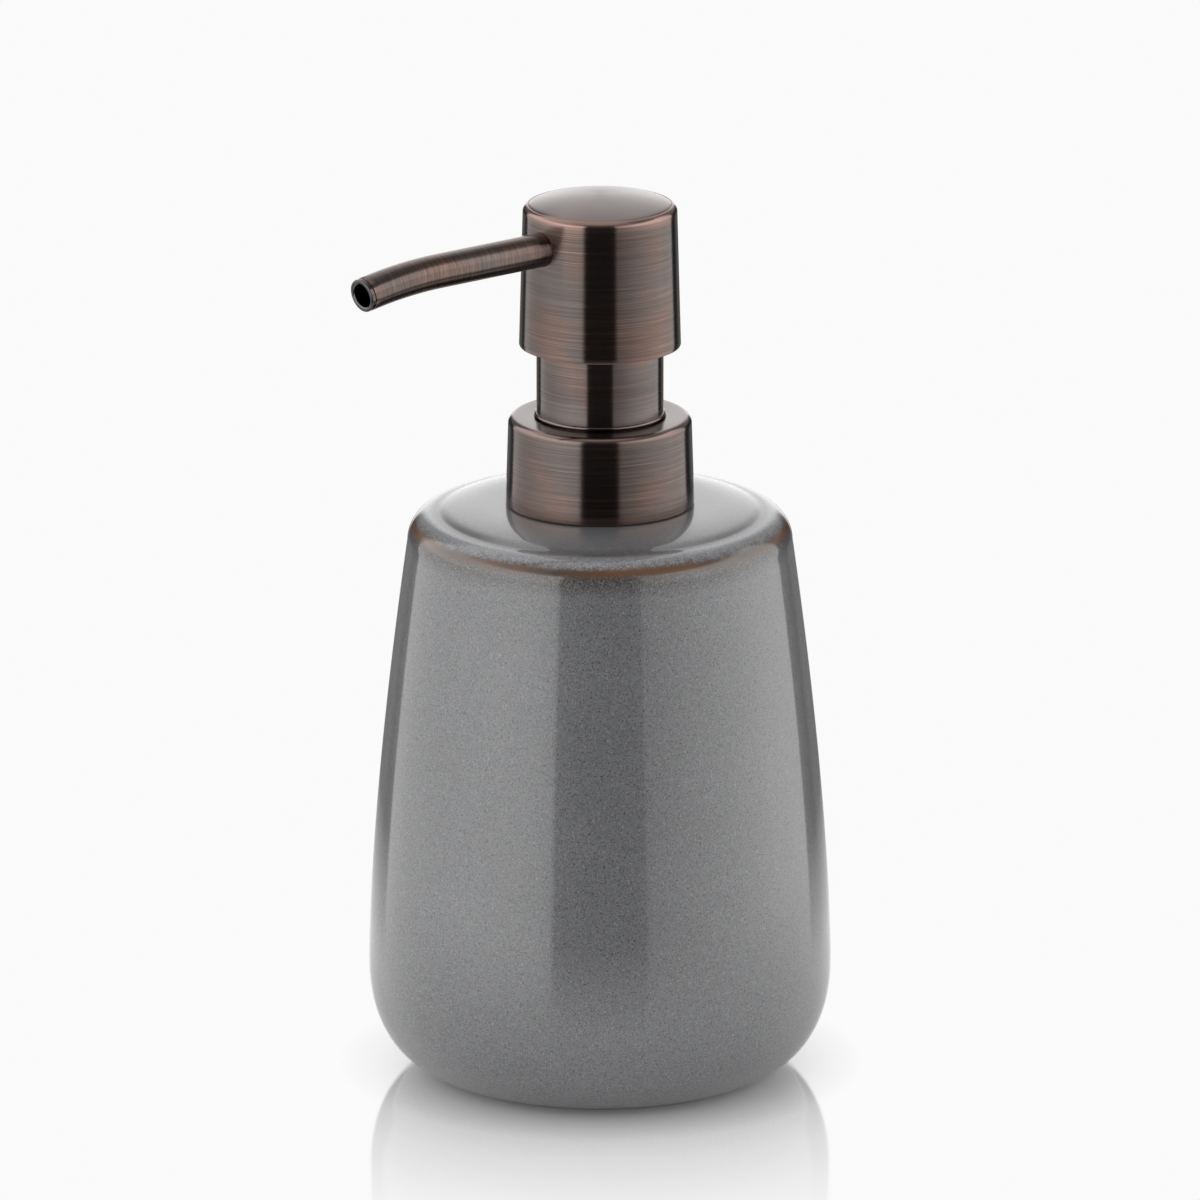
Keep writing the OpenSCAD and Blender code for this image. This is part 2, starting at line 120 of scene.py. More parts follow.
studio = {
    "gap": 0.038,             # the unlit room behind the camera and between the lights
    "box": 1.75,              # light of the side softboxes
    "paper": 0.957,           # what the camera sees of the table and the backdrop
    "strength": 3.0,          # the ramps below hold shares of this
    # light round the horizon: degrees from the camera, positive to its right, and share of the box
    "low": [(-169, 0.77), (-165, 0.0), (-137.5, 0.0), (-136, 0.60), (-118, 0.58), (-98, 0.68), (-78, 0.86),
            (-52, 1.0), (-32, 0.92), (-24.5, 0.80), (-23, 0.0), (23, 0.0), (24.5, 0.34), (40, 0.46),
            (60, 0.68), (80, 0.86), (100, 0.94), (118, 0.78), (131, 0.66), (132.5, 0.0), (165, 0.0),
            (169, 0.77)],
    "high": [(-170, 0.69), (-163, 0.10), (-142, 0.10), (-134, 0.90), (-100, 1.0), (-52, 1.30),
             (-26, 1.05), (-22.5, 0.02), (22.5, 0.02), (26, 0.60), (60, 1.05), (100, 1.10), (129, 0.75),
             (134, 0.12), (160, 0.16), (170, 0.69)],
    "roof": [(-170, 0.55), (-120, 0.60), (-60, 0.32), (-20, 0.10), (20, 0.10), (60, 0.14), (140, 0.14),
             (170, 0.55)],
    "tableEdge": (-34, -22),  # degrees below the horizon where the lit table ends
    "under": 0.10,            # share of the box below that
    "backEdge": (-13, -7),    # the same behind the object, which gives the thin dark outlines
    "behind": (145, 152),     # degrees from the camera, either way, that count as behind
    "highFrom": (6, 14),      # degrees above the horizon where the high light takes over
    "roofFrom": (37, 44),     # the same for the roof and for the light straight above
    "zenithFrom": (62, 75),
    "zenith": 0.75,
}


def lightStudio():
    world = bpy.data.worlds.new("studio")
    bpy.context.scene.world = world
    world.use_nodes = True
    n = Nodes(world.node_tree)
    direction = n.add("ShaderNodeSeparateXYZ", {0: n.add("ShaderNodeTexCoord").outputs["Generated"]})
    x, y, z = direction.outputs
    turn = math.radians(view["azimuth"])
    # angle round the vertical, 0 towards the camera, positive to the camera's right
    ahead = n.math("SUBTRACT", n.math("MULTIPLY", x, math.sin(turn)), n.math("MULTIPLY", y, math.cos(turn)))
    across = n.math("ADD", n.math("MULTIPLY", x, math.cos(turn)), n.math("MULTIPLY", y, math.sin(turn)))
    angle = n.math("ADD", n.math("DIVIDE", n.math("ARCTAN2", across, ahead), math.tau), 0.5)
    top = studio["strength"]

    def ringOf(name):
        gap = studio["gap"]
        return n.ramp(angle, [(a / 360 + 0.5, (gap + (studio["box"] - gap) * share) / top)
                              for a, share in studio[name]])

    upward = n.math("MULTIPLY_ADD", z, 0.5, 0.5)

    def above(name):
        start, end = (math.sin(math.radians(a)) / 2 + 0.5 for a in studio[name])
        return n.ramp(upward, [(start, 0.0), (end, 1.0)])

    under = studio["box"] * studio["under"] / top
    light = n.mix(above("tableEdge"), (under, under, under), ringOf("low"))
    # the thin dark outlines
    start, end = studio["behind"]
    behind = n.ramp(angle, [(0.5 - end / 360, 1.0), (0.5 - start / 360, 0.0),
                            (0.5 + start / 360, 0.0), (0.5 + end / 360, 1.0)])
    behind = n.math("MULTIPLY", behind, n.math("SUBTRACT", 1.0, above("backEdge")))
    light = n.mix(behind, light, (under, under, under))
    light = n.mix(above("highFrom"), light, ringOf("high"))
    light = n.mix(above("roofFrom"), light, ringOf("roof"))
    zenith = studio["zenith"] / top
    light = n.mix(above("zenithFrom"), light, (zenith, zenith, zenith))
    seen = n.add("ShaderNodeLightPath").outputs["Is Camera Ray"]
    paper = studio["paper"] / top
    light = n.mix(seen, light, (paper, paper, paper))
    background = n.add("ShaderNodeBackground", {"Color": light, "Strength": top})
    n.add("ShaderNodeOutputWorld", {"Surface": background.outputs[0]})


table = {
    "radius": 3.0,
    "color": 0.86,
    "span": 0.25,                    # the distances below are all within this
    "reach": (0.030, 0.085, 0.17),   # shadows and mirrored shapes fade out over these distances
    "halfway": 0.62,                 # share of plain paper at the middle distance
    "contact": (0.026, 0.046),       # the dark line under the foot ends here
    "shadow": 0.3,                   # share of plain paper in that dark line
    # share of mirrored light at these distances
    "mirror": [(0.030, 0.80), (0.045, 0.42), (0.055, 0.30), (0.078, 0.14), (0.105, 0.0)],
    "glossReach": (0.10, 0.20),      # polished faces see the room, not the table, beyond these
    "roughness": 0.06,
    "sides": 96,
}


def layFloor():
    bm = bmesh.new()
    bmesh.ops.create_circle(bm, cap_ends=True, radius=table["radius"], segments=table["sides"])
    mesh = bpy.data.meshes.new("floor")
    bm.to_mesh(mesh)
    bm.free()
    floor = bpy.data.objects.new("floor", mesh)
    bpy.context.scene.collection.objects.link(floor)
    material = bpy.data.materials.new("paleTable")
    material.use_nodes = True
    n = Nodes(material.node_tree)
    place = n.add("ShaderNodeTexCoord").outputs["Object"]
    away = n.add("ShaderNodeVectorMath", {0: place}, operation="LENGTH").outputs["Value"]
    away = n.math("DIVIDE", away, table["span"])

    def fade(distances, shares):
        return n.ramp(away, [(d / table["span"], share) for d, share in zip(distances, shares)])

    tone = table["color"]
    surface = n.add("ShaderNodeBsdfPrincipled", {"Base Color": (tone, tone, tone, 1),
                                                 "Roughness": table["roughness"]})
    paper = studio["paper"]
    even = n.add("ShaderNodeEmission", {"Color": (paper, paper, paper, 1), "Strength": 1.0})
    around = n.add("ShaderNodeMixShader", {0: fade(table["reach"], (0.0, table["halfway"], 1.0)),
                                           1: surface.outputs[0], 2: even.outputs[0]})
    # the camera sees even paper with the mirrored object in it, and a shadow only under the foot
    tint = paper / (studio["box"] * studio["high"][0][1])
    polish = n.add("ShaderNodeBsdfGlossy", {"Color": (tint, tint, tint, 1),
                                            "Roughness": table["roughness"]})
    paperLook = n.add("ShaderNodeMixShader", {0: fade(*zip(*table["mirror"])),
                                              1: even.outputs[0], 2: polish.outputs[0]})
    pictured = n.add("ShaderNodeMixShader", {0: fade(table["contact"], (table["shadow"], 1.0)),
                                             1: surface.outputs[0], 2: paperLook.outputs[0]})
    light = n.add("ShaderNodeLightPath").outputs
    seen = n.add("ShaderNodeMixShader", {0: light["Is Camera Ray"], 1: around.outputs[0],
                                         2: pictured.outputs[0]})
    # a ray mirrored by the object passes through the table further out
    passing = n.math("MULTIPLY", fade(table["glossReach"], (0.0, 1.0)), light["Is Glossy Ray"])
    clear = n.add("ShaderNodeBsdfTransparent")
    whole = n.add("ShaderNodeMixShader", {0: passing, 1: seen.outputs[0], 2: clear.outputs[0]})
    n.add("ShaderNodeOutputMaterial", {"Surface": whole.outputs[0]})
    mesh.materials.append(material)


aimCamera()
lightStudio()
layFloor()
scene = bpy.context.scene
scene.view_settings.view_transform = "Standard"
print("stage: camera, light and floor")

# mesh helpers


def arc(centreR, centreZ, radius, start, end, count):
    points = []
    for i in range(count + 1):
        a = math.radians(start + (end - start) * i / count)
        points.append((centreR + radius * math.cos(a), centreZ + radius * math.sin(a)))
    return points


def spinOutline(outline, steps, closed=False):
    # turns an outline of (radius, height) points in millimetres round the pump's axis
    bm = bmesh.new()
    verts = [bm.verts.new((r * mm, 0, z * mm)) for r, z in outline]
    pairs = list(zip(verts, verts[1:]))
    if closed:
        pairs.append((verts[-1], verts[0]))
    edges = [bm.edges.new(pair) for pair in pairs]
    bmesh.ops.spin(bm, geom=verts + edges, cent=(0, 0, 0), axis=(0, 0, 1),
                   angle=math.tau, steps=steps, use_merge=True, use_duplicate=False)
    bmesh.ops.remove_doubles(bm, verts=bm.verts, dist=tiny)
    bmesh.ops.recalc_face_normals(bm, faces=bm.faces)
    return bm


def paintWearAndHighlights(bm, rings):
    # rings are (radius, height, reach, strength): worn edges and painted highlights, kept as a vertex
    # attribute
    layer = bm.verts.layers.float.new("wearAndHighlight")
    level = bm.verts.layers.float.new("level")
    bm.normal_update()
    for v in bm.verts:
        r, z = math.hypot(v.co.x, v.co.y) / mm, v.co.z / mm
        wornAndLit = 0
        for ringR, ringZ, reach, strength in rings:
            d = math.hypot(r - ringR, z - ringZ) / reach
            wornAndLit = max(wornAndLit, strength * math.exp(-d * d))
        v[layer] = wornAndLit
        v[level] = max(0, v.normal.z)


def cutHole(bm, cutter):
    # takes the cutter's shape out of bm and gives back a new bmesh
    pair = []
    for name, shape in (("uncut", bm), ("cutter", cutter)):
        mesh = bpy.data.meshes.new(name)
        shape.to_mesh(mesh)
        shape.free()
        piece = bpy.data.objects.new(name, mesh)
        scene.collection.objects.link(piece)
        pair.append(piece)
    tool = pair[0].modifiers.new("hole", "BOOLEAN")
    tool.operation = "DIFFERENCE"
    tool.solver = "EXACT"
    tool.object = pair[1]
    graph = bpy.context.evaluated_depsgraph_get()
    cut = bmesh.new()
    cut.from_object(pair[0], graph)
    for piece in pair:
        mesh = piece.data
        bpy.data.objects.remove(piece)
        bpy.data.meshes.remove(mesh)
    return cut


def makePiece(name, bm, body, materials, node, sharp=35):
    mesh = bpy.data.meshes.new(name)
    bm.to_mesh(mesh)
    bm.free()
    mesh.shade_smooth()
    mesh.set_sharp_from_angle(angle=math.radians(sharp))
    for material in materials:
        mesh.materials.append(material)
    piece = bpy.data.objects.new(name, mesh)
    scene.collection.objects.link(piece)
    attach(piece, body)
    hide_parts(node)
    return piece


def newMaterial(name):
    material = bpy.data.materials.new(name)
    material.use_nodes = True
    return material, Nodes(material.node_tree)


def objectPoint(n, scale):
    place = n.add("ShaderNodeTexCoord").outputs["Object"]
    return n.add("ShaderNodeMapping", {"Vector": place, "Scale": scale}).outputs[0]


# bronze finish

bronze = {
    "black": (0.062, 0.048, 0.043),
    "brown": (0.086, 0.075, 0.070),
    "grey": (0.138, 0.118, 0.112),
    "rust": (0.140, 0.084, 0.067),
    "copper": (0.32, 0.170, 0.125),
    # worn copper edges, also the colour of painted highlights on fillets and rims
    "edge": (0.46, 0.275, 0.225),
    # paler colour on faces that point up: a painted sheen of the light from above
    "topSheen": (0.190, 0.160, 0.152),
    "hairs": 12000,           # fine brushed lines per metre
    "bands": 6000,            # broader bands of the brushing
    "along": 60,              # how quickly a line changes along its length
    "lines": (0.65, 0.35),    # shares of hairs and bands in the tone
    "patches": 95.0,          # reddish patches per metre
    "polish": 0.75,           # how much fainter the lines are on level faces
    "relief": 0.08,
    "roughness": (0.13, 0.12),   # lowest, and what the palest line adds
    "anisotropy": 0.94,
    "coat": 0.30,
}


def brushedPoint(n, along, across):
    # coordinates that are squeezed along a turned piece's outline, so noise becomes lines round it
    x, y, z = n.add("ShaderNodeSeparateXYZ", {0: n.add("ShaderNodeTexCoord").outputs["Object"]}).outputs
    radius = n.math("SQRT", n.math("ADD", n.math("MULTIPLY", x, x), n.math("MULTIPLY", y, y)))
    outline = n.math("MULTIPLY", n.math("SUBTRACT", z, radius), across)
    return n.add("ShaderNodeCombineXYZ", {0: n.math("MULTIPLY", x, along), 1: n.math("MULTIPLY", y, along),
                                          2: outline}).outputs[0]


def makeBronze(name, shape):
    # shape is "turned" on pieces round the pump's axis and "spout" on the tube, which has a UV map
    material, n = newMaterial(name)
    b = bronze
    if shape == "turned":
        hairs = brushedPoint(n, b["along"], b["hairs"])
        bands = brushedPoint(n, b["along"] * 0.5, b["bands"])
    else:
        hairs = objectPoint(n, (b["along"] * 4, b["hairs"] * 0.8, b["along"] * 4))
        bands = objectPoint(n, (b["along"] * 3, b["bands"], b["along"] * 3))
    fine = n.add("ShaderNodeTexNoise", {"Vector": hairs, "Scale": 1.0, "Detail": 3.0, "Roughness": 0.65})
    broad = n.add("ShaderNodeTexNoise", {"Vector": bands, "Scale": 1.0, "Detail": 3.0, "Roughness": 0.6})
    patch = n.add("ShaderNodeTexNoise", {"Vector": objectPoint(n, (1, 1, 1)), "Scale": b["patches"],
                                          "Detail": 2.0})
    wearAndHighlight = n.add("ShaderNodeAttribute", attribute_name="wearAndHighlight").outputs["Fac"]
    level = n.add("ShaderNodeAttribute", attribute_name="level").outputs["Fac"]
    tone = n.math("ADD", n.math("MULTIPLY", fine.outputs["Fac"], b["lines"][0]),
                  n.math("MULTIPLY", broad.outputs["Fac"], b["lines"][1]))
    # lines are fainter on level faces, which are polished
    tone = n.math("ADD", 0.52, n.math("MULTIPLY", n.math("SUBTRACT", tone, 0.5),
                                      n.math("SUBTRACT", 1.0, n.math("MULTIPLY", level, b["polish"]))))
    plain = n.ramp(tone, [(0.34, b["black"]), (0.50, b["brown"]), (0.66, b["grey"])])
    # copper shows through in patches
    reddish = n.ramp(tone, [(0.36, b["black"]), (0.53, b["rust"]), (0.74, b["copper"])])
    warm = n.ramp(n.math("ADD", patch.outputs["Fac"], n.math("MULTIPLY", broad.outputs["Fac"], 0.35)),
                  [(0.60, 0.10), (0.84, 0.75)])
    base = n.mix(warm, plain, reddish)
    # faces that point up get a painted sheen of the light from above
    base = n.mix(n.math("MULTIPLY", level, 0.65), base, b["topSheen"])
    # worn edges in copper, which also paint the highlights on the fillets and rims
    wornAndLit = n.math("MULTIPLY", wearAndHighlight, n.ramp(fine.outputs["Fac"], [(0.32, 0.30), (0.58, 1.0)]))
    color = n.mix(wornAndLit, base, b["edge"])
    bump = n.add("ShaderNodeBump", {"Height": tone, "Strength": b["relief"], "Distance": 0.0001})
    rough = n.math("ADD", b["roughness"][0], n.math("MULTIPLY", tone, b["roughness"][1]))
    surface = n.add("ShaderNodeBsdfPrincipled", {
        "Base Color": color, "Metallic": 1.0, "Roughness": rough, "Normal": bump.outputs[0],
        "Anisotropic": b["anisotropy"], "Anisotropic Rotation": 0.25,
        "Coat Weight": b["coat"], "Coat Roughness": 0.05})
    if shape == "turned":
        tangent = n.add("ShaderNodeTangent", direction_type="RADIAL", axis="Z")
    else:
        tangent = n.add("ShaderNodeTangent", direction_type="UV_MAP", uv_map="wrap")
    n.tree.links.new(tangent.outputs[0], surface.inputs["Tangent"])
    n.add("ShaderNodeOutputMaterial", {"Surface": surface.outputs[0]})
    return material


turnedBronze = makeBronze("turnedBronze", "turned")
spoutBronze = makeBronze("spoutBronze", "spout")

# bottle

bottle = {
    "widest": 40.23, "belly": 19.4, "foot": 24.6, "footWidth": 4.5, "footRecess": 1.2,
    "shoulder": 33.3, "shoulderRound": 5.0, "topFall": 1.65, "flat": 17.0, "topPower": 2.6,
    "sidePower": 1.53, "cornerPower": 2.3, "wall": 4.0, "floor": 5.0, "plate": 3.6, "mouth": 12.3,
    "crease": 0.06,           # depth of the soft groove inside the shoulder
    "turns": 192,
}
glaze = {
    "grey": (0.142, 0.144, 0.149),
    "pale": (0.270, 0.274, 0.280),
    "dark": (0.042, 0.042, 0.043),
    # paler, bluer top: a painted reflection of the light above
    "plate": (0.176, 0.179, 0.190),
    # pale band on the roll of the shoulder: a painted reflection of the light
    "rollSheen": (0.370, 0.385, 0.415),
    "brown": (0.032, 0.018, 0.010),
    "rust": (0.120, 0.050, 0.016),
    # the groove's darker band: glaze stain with painted shade of the groove
    "grooveStainAndShade": (0.085, 0.070, 0.060),
    "breakHeight": 97.8,      # where the glaze runs thin over the shoulder
    "topFrom": (97.6, 98.4),  # heights over which the paler top starts, a painted reflection of the light above
    "rollFrom": (28.6, 29.4),    # radius over which the roll of the shoulder starts
    "rollHeights": (98.6, 99.8),
    "groove": (27.2, 27.9),   # radius of the darker band inside the roll: glaze stain with painted shade
    "grain": 3400,            # specks per metre
    "clouds": 42.0,
    "spots": 420.0,
    "coatIor": 1.56,
    "span": 120.0,            # heights and radii are all within this, in millimetres
}


def cornerPoints(inner, outer, low, count):
    p = 2 / bottle["cornerPower"]
    points = []
    for i in range(count + 1):
        a = math.pi / 2 * i / count
        points.append((inner + (outer - inner) * math.sin(a) ** p,
                       bottle["belly"] - (bottle["belly"] - low) * math.cos(a) ** p))
    return points


def sidePoints(inset, shoulderZ, high, count):
    b = bottle
    points = []
    for i in range(1, count + 1):
        z = b["belly"] + (high - b["belly"]) * i / count
        t = (z - b["belly"]) / (shoulderZ - b["belly"])
        points.append((b["widest"] - inset - (b["widest"] - b["shoulder"]) * t ** b["sidePower"], z))
    return points


def topPoints(high, count):
    # the gently domed top from the shoulder in to the flat under the collar, with its soft groove
    b = bottle
    edge = b["shoulder"] - b["shoulderRound"]
    points = []
    for i in range(1, count + 1):
        u = 1 - i / count
        r = b["flat"] + (edge - b["flat"]) * u
        dip = b["crease"] * math.exp(-((r - edge + 0.6) / 0.9) ** 2)
        points.append((r, high - b["topFall"] * u ** b["topPower"] - dip))
    return points


def band(n, value, low, high, soft):
    # 1 where value is between low and high, with soft edges; all in millimetres
    marks = [(low - soft, 0.0), (low, 1.0), (high, 1.0), (high + soft, 0.0)]
    span = glaze["span"]
    return n.ramp(n.math("DIVIDE", value, span), [(mark / span, share) for mark, share in marks])


def past(n, value, limits):
    # 0 below the first limit and 1 above the second, in millimetres
    span = glaze["span"]
    return n.ramp(n.math("DIVIDE", value, span), [(limits[0] / span, 0.0), (limits[1] / span, 1.0)])


def makeGlaze():
    material, n = newMaterial("greyGlaze")
    g = glaze
    place = n.add("ShaderNodeTexCoord").outputs["Object"]
    x, y, z = n.add("ShaderNodeSeparateXYZ", {0: place}).outputs
    radius = n.math("SQRT", n.math("ADD", n.math("MULTIPLY", x, x), n.math("MULTIPLY", y, y)))
    radius = n.math("MULTIPLY", radius, 1000.0)
    height = n.math("MULTIPLY", z, 1000.0)
    speck = n.add("ShaderNodeTexNoise", {"Vector": place, "Scale": g["grain"], "Detail": 2.0,
                                         "Roughness": 0.7}).outputs["Fac"]
    mottle = n.add("ShaderNodeTexNoise", {"Vector": place, "Scale": g["grain"] * 0.3, "Detail": 3.0,
                                          "Roughness": 0.6}).outputs["Fac"]
    cloud = n.add("ShaderNodeTexNoise", {"Vector": place, "Scale": g["clouds"],
                                         "Detail": 3.0}).outputs["Fac"]
    body = n.ramp(speck, [(0.33, g["dark"]), (0.45, g["grey"]), (0.58, g["grey"]), (0.72, g["pale"])])
    body = n.mix(0.38, body, n.ramp(mottle, [(0.35, 0.40), (0.65, 0.60)]), "SOFT_LIGHT")
    body = n.mix(0.60, body, n.ramp(cloud, [(0.35, 0.46), (0.65, 0.54)]), "SOFT_LIGHT")
    # rare iron specks
    spots = n.add("ShaderNodeTexVoronoi", {"Vector": place, "Scale": g["spots"]}).outputs["Distance"]
    body = n.mix(n.ramp(spots, [(0.05, 0.55), (0.11, 0.0)]), body, g["dark"])
    # the top is painted paler and bluer, a painted reflection of the light above
    onTop = past(n, height, g["topFrom"])
    plate = n.mix(0.35, g["plate"], body)
    color = n.mix(onTop, body, plate)
    # a painted reflection of the light makes a pale band on the roll of the shoulder; the glaze is brown
    # where it runs thin
    drift = n.math("MULTIPLY", n.math("SUBTRACT", mottle, 0.5), 2.2)
    drift = n.math("ADD", drift, n.math("MULTIPLY", n.math("SUBTRACT", cloud, 0.5), 2.4))
    rolled = n.math("ADD", height, n.math("MULTIPLY", drift, 0.5))
    rollSheen = n.math("MULTIPLY", past(n, radius, g["rollFrom"]), band(n, rolled, *g["rollHeights"], 0.5))
    color = n.mix(n.math("MULTIPLY", rollSheen, 0.80), color, g["rollSheen"])
    # a darker band in the groove inside the roll: glaze stain with painted shade
    inside = n.math("ADD", radius, n.math("MULTIPLY", drift, 0.35))
    groove = n.math("MULTIPLY", onTop, band(n, inside, *g["groove"], 0.9))
    color = n.mix(n.math("MULTIPLY", groove, 0.38), color, g["grooveStainAndShade"])
    h = g["breakHeight"]
    haze = n.math("MULTIPLY", band(n, n.math("ADD", height, drift), h - 1.5, h + 0.3, 3.0),
                  n.ramp(speck, [(0.40, 1.0), (0.62, 0.30)]))
    color = n.mix(n.math("MULTIPLY", haze, 0.92), color, g["brown"])
    line = band(n, rolled, h - 0.45, h + 0.25, 0.50)
    burnt = n.mix(n.ramp(cloud, [(0.46, 0.0), (0.60, 0.8)]), g["rust"], g["brown"])
    color = n.mix(n.math("MULTIPLY", line, 0.97), color, burnt)
    # the glaze is wiped thin just above the foot
    wiped = n.math("ADD", height, n.math("MULTIPLY", drift, 0.3))
    footLine = band(n, wiped, -1.0, 0.5, 0.5)
    color = n.mix(n.math("MULTIPLY", footLine, 0.8), color, g["rust"])
    bump = n.add("ShaderNodeBump", {"Height": mottle, "Strength": 0.05, "Distance": 0.0002})
    surface = n.add("ShaderNodeBsdfPrincipled", {
        "Base Color": color, "Roughness": 0.35, "Coat Weight": 1.0, "Coat Roughness": 0.02,
        "Coat IOR": g["coatIor"], "Normal": bump.outputs[0]})
    n.add("ShaderNodeOutputMaterial", {"Surface": surface.outputs[0]})
    return material


def makeFootClay():
    material, n = newMaterial("rawClay")
    place = n.add("ShaderNodeTexCoord").outputs["Object"]
    grain = n.add("ShaderNodeTexNoise", {"Vector": place, "Scale": 900.0, "Detail": 4.0})
    color = n.ramp(grain.outputs["Fac"], [(0.3, (0.20, 0.13, 0.08)), (0.7, (0.42, 0.31, 0.22))])
    bump = n.add("ShaderNodeBump", {"Height": grain.outputs["Fac"], "Strength": 0.3, "Distance": 0.0002})
    surface = n.add("ShaderNodeBsdfPrincipled", {"Base Color": color, "Roughness": 0.85,
                                                 "Normal": bump.outputs[0]})
    n.add("ShaderNodeOutputMaterial", {"Surface": surface.outputs[0]})
    return material


def makeBottle():
    b = bottle
    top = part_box("bottle")[1].z / mm
    shoulderZ = top - b["topFall"] - b["shoulderRound"]
    edge = b["shoulder"] - b["shoulderRound"]
    plateLow = top - b["topFall"] - b["plate"]
    inner = b["widest"] - b["wall"]
    outline = [(0, b["footRecess"]), (b["foot"] - b["footWidth"] - 0.6, b["footRecess"]),
               (b["foot"] - b["footWidth"], 0.0)]
    outline += cornerPoints(b["foot"], b["widest"], 0, 24)
    outline += sidePoints(0, shoulderZ, shoulderZ, 40)
    outline += arc(edge, shoulderZ, b["shoulderRound"], 5, 85, 16)
    outline += topPoints(top, 30)
    outline += [(b["mouth"] + 0.5, top), (b["mouth"], top - 0.5), (b["mouth"], plateLow)]
    inside = [(0, b["floor"])] + cornerPoints(b["foot"] - 2, inner, b["floor"], 14)
    inside += sidePoints(b["wall"], shoulderZ, shoulderZ - b["wall"], 14)
    inside += arc(edge - b["wall"], plateLow - 3, 3, 0, 90, 5)
    outline += inside[::-1]
    bm = spinOutline(outline, b["turns"])
    for face in bm.faces:
        middle = face.calc_center_median()
        if middle.z < 0.3 * mm and math.hypot(middle.x, middle.y) < (b["foot"] + 1) * mm:
            face.material_index = 1
    return makePiece("bottleBody", bm, "bottle", [makeGlaze(), makeFootClay()], "bottle")


makeBottle()
print("stage: bottle")

# collar, sleeve and head

# lengths are in millimetres, turns are faces round the piece
collar = {"radius": 16.3, "taper": 0.45, "fillet": 1.3, "topWall": 0.8, "sideWall": 1.15, "hole": 11.25,
          "steps": 8, "turns": 160}
sleeve = {"radius": 10.95, "wall": 0.7, "bead": 0.35, "beadGap": 0.08, "turns": 144}
head = {"radius": 13.95, "taper": 0.65, "fillet": 1.2, "dome": 1.8, "domeInset": 0.9, "bore": 12.25,
        "roof": 1.85, "spoutHole": 3.0, "steps": 24, "domeRings": 20, "turns": 224}
spout = {"radius": 2.95, "wall": 0.5, "root": 6.05, "straight": 36.0, "bendRadius": 90.0, "bend": 10.4,
         "tilt": 0.5, "drop": 6.0, "steps": 48, "turns": 64}
nozzle = {"rim": 2.9, "hole": 2.1, "flare": 0.15, "spigot": 2.28, "lip": 0.89, "depth": 4.0, "round": 0.2,
          "gap": 0.05, "turns": 64}


def makeCollar():
    low, high = (corner.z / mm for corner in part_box("collar_shell"))
    c = collar
    topR = c["radius"] - c["taper"]
    innerTop = high - c["topWall"]
    # the lower edge is broken by hand
    outline = [(c["radius"] - 0.22, low), (c["radius"] - 0.05, low + 0.08), (c["radius"], low + 0.25)]
    for i in range(1, c["steps"]):
        t = i / c["steps"]
        outline.append((c["radius"] - c["taper"] * t, low + (high - c["fillet"] - low) * t))
    outline += arc(topR - c["fillet"], high - c["fillet"], c["fillet"], 0, 90, 12)
    outline += [(topR - 2.4, high), (c["hole"] + 0.6, high), (c["hole"] + 0.15, high - 0.03),
                (c["hole"], high - 0.2), (c["hole"], innerTop)]
    outline += [(c["radius"] - c["sideWall"], innerTop), (c["radius"] - c["sideWall"], low)]
    bm = spinOutline(outline, c["turns"], closed=True)
    # worn lower edge, top fillet and hole edge, which also carry painted highlights
    paintWearAndHighlights(bm, [(c["radius"], low, 0.28, 0.55), (topR - 0.4, high - 0.4, 0.7, 0.32),
                   (c["hole"], high, 0.3, 0.3)])
    makePiece("collarShell", bm, "closure", [turnedBronze], "collar_shell")


def makeSleeve():
    low, high = (corner.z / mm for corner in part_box("neck_sleeve"))
    s = sleeve
    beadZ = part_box("collar_shell")[1].z / mm + s["bead"] + s["beadGap"]
    inner = s["radius"] - s["wall"]
    outline = [(s["radius"], low)] + arc(s["radius"], beadZ, s["bead"], -90, 90, 10)
    outline += [(s["radius"], beadZ + 5), (s["radius"], high - 0.2), (s["radius"] - 0.2, high),
                (inner, high), (inner, low)]
    bm = spinOutline(outline, s["turns"], closed=True)
    # the worn bead also carries a painted highlight, its thin light line
    paintWearAndHighlights(bm, [(s["radius"] + s["bead"], beadZ + 0.2, 0.2, 0.25)])
    makePiece("neckSleeve", bm, "pump", [turnedBronze], "neck_sleeve")


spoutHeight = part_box("head_shell")[1].z / mm - head["dome"] - spout["drop"]


def onSpout(distance, radius, angle):
    # a point beside the spout's centre line, from how far along it is to where that is on the object
    s = spout
    bent = max(0, distance - s["straight"]) / s["bendRadius"]
    ahead = min(distance, s["straight"]) + s["bendRadius"] * math.sin(bent)
    fall = s["bendRadius"] * (1 - math.cos(bent))
    up, side = radius * math.cos(angle), radius * math.sin(angle)
    out = ahead + up * math.sin(bent)
    rise = up * math.cos(bent) - fall
    tilt = math.radians(s["tilt"])
    return Vector((side, -(out * math.cos(tilt) - rise * math.sin(tilt)),
                   spoutHeight + rise * math.cos(tilt) + out * math.sin(tilt))) * mm


def bendAlongSpout(bm, start):
    # bm is a straight turned piece whose height is the distance along the spout from start
    wrap = bm.loops.layers.uv.new("wrap")
    for face in bm.faces:
        turned = [math.atan2(loop.vert.co.y, loop.vert.co.x) / math.tau for loop in face.loops]
        for loop, turn in zip(face.loops, turned):
            if max(turned) - min(turned) > 0.5 and turn < 0:
                turn += 1
            loop[wrap].uv = (turn, loop.vert.co.z / mm * 0.05)
    for v in bm.verts:
        radius, angle = math.hypot(v.co.x, v.co.y) / mm, math.atan2(v.co.y, v.co.x)
        v.co = onSpout(start + v.co.z / mm, radius, angle)
    bmesh.ops.recalc_face_normals(bm, faces=bm.faces)


def spoutEnd():
    return spout["straight"] + spout["bendRadius"] * math.radians(spout["bend"])


